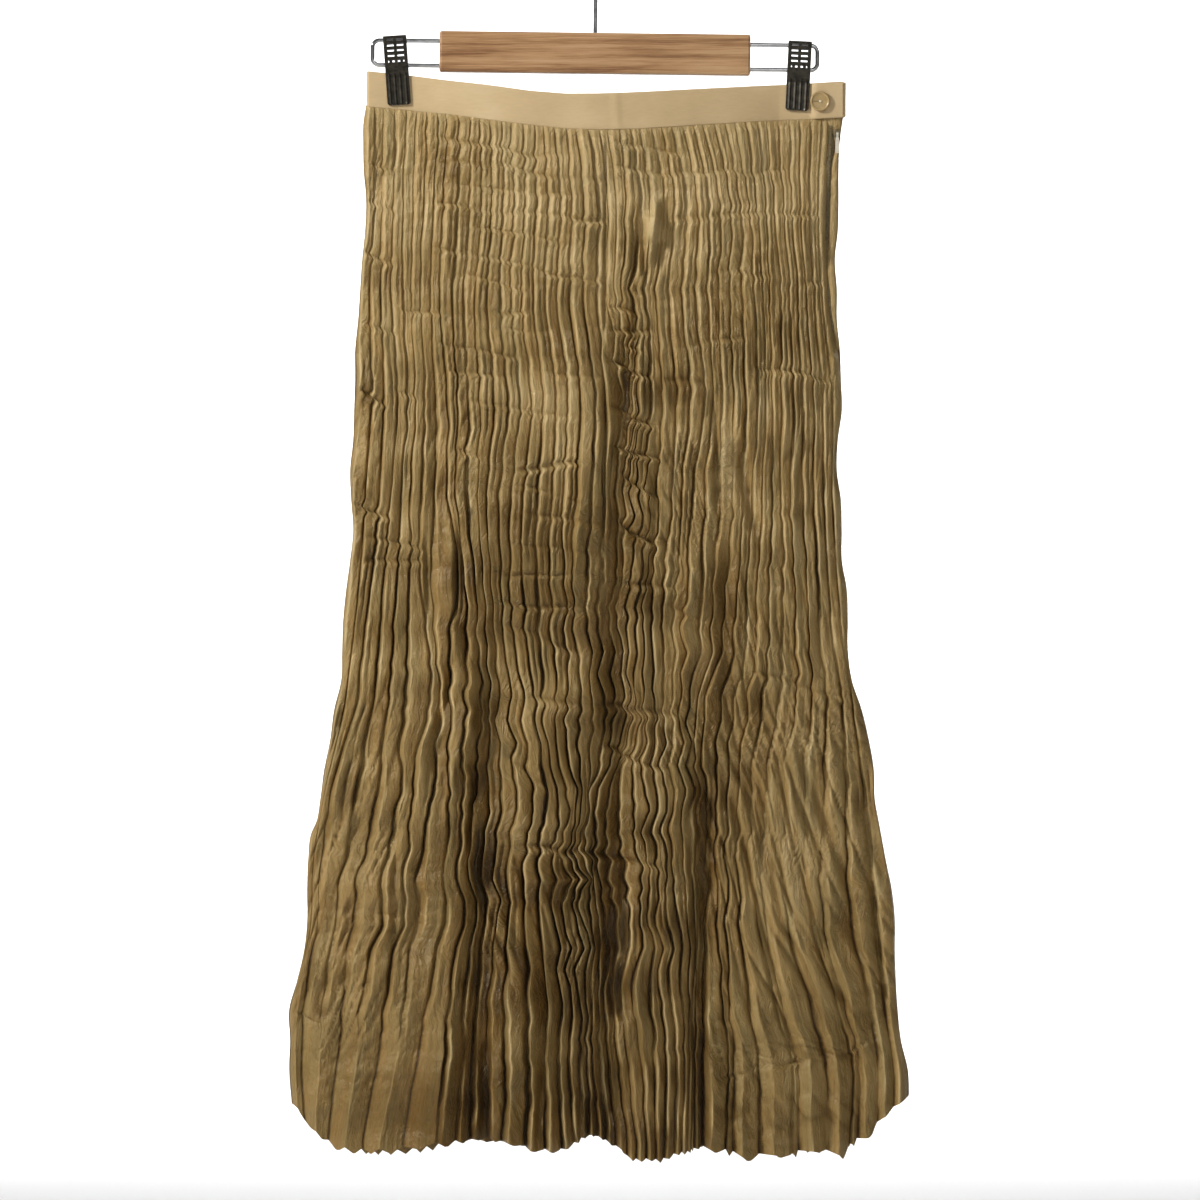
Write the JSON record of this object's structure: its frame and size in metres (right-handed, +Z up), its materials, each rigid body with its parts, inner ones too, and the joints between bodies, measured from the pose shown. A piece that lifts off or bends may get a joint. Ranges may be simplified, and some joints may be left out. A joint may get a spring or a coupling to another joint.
{
  "type": "maxi skirt on a wooden clip hanger",
  "caption": "Long skirt of narrow crinkle pleats on a flat waistband with a button and a side zip, hung by two clips from a wooden hanger.",
  "frame": {"origin": "inner top of the hook's crook, where the rail carries the hanger", "axes": "+Z up, +X to the right of someone facing the skirt's front, the front looks along -Y"},
  "size_m": [0.469, 0.0841, 0.9267],
  "materials": {
    "satin": "crinkle-pleated gold-beige satin with a soft sheen",
    "band_cloth": "smooth matt beige woven cloth",
    "tape_cloth": "dark olive woven zip tape",
    "resin": "translucent beige resin",
    "enamel": "cream enamel",
    "wood": "light wood with fine lengthwise grain, satin lacquer",
    "chrome": "bright chrome wire",
    "dark_steel": "dark bronzed pressed steel"
  },
  "bodies": {
    "root": {"skirt_front_left": "satin", "skirt_front_right": "satin", "skirt_back_left": "satin", "skirt_back_right": "satin", "waistband_front": "band_cloth", "waistband_back": "band_cloth", "button": "resin", "zip_tape": "tape_cloth", "zip_slider": "enamel", "hanger_bar": "wood", "hook": "chrome", "arm_left": "chrome", "arm_right": "chrome", "clip_left_front": "dark_steel", "clip_left_back": "dark_steel", "clip_left_core": "dark_steel", "clip_right_front": "dark_steel", "clip_right_back": "dark_steel", "clip_right_core": "dark_steel"},
    "pull": {"zip_pull": "enamel"}
  },
  "joints": [
    {"name": "pull_swing", "type": "hinge", "parent": "root", "child": "pull", "pos_m": [0.1804, -0.00555, -0.1565], "axis": [-1, 0, 0], "range_deg": [0, 160]}
  ]
}
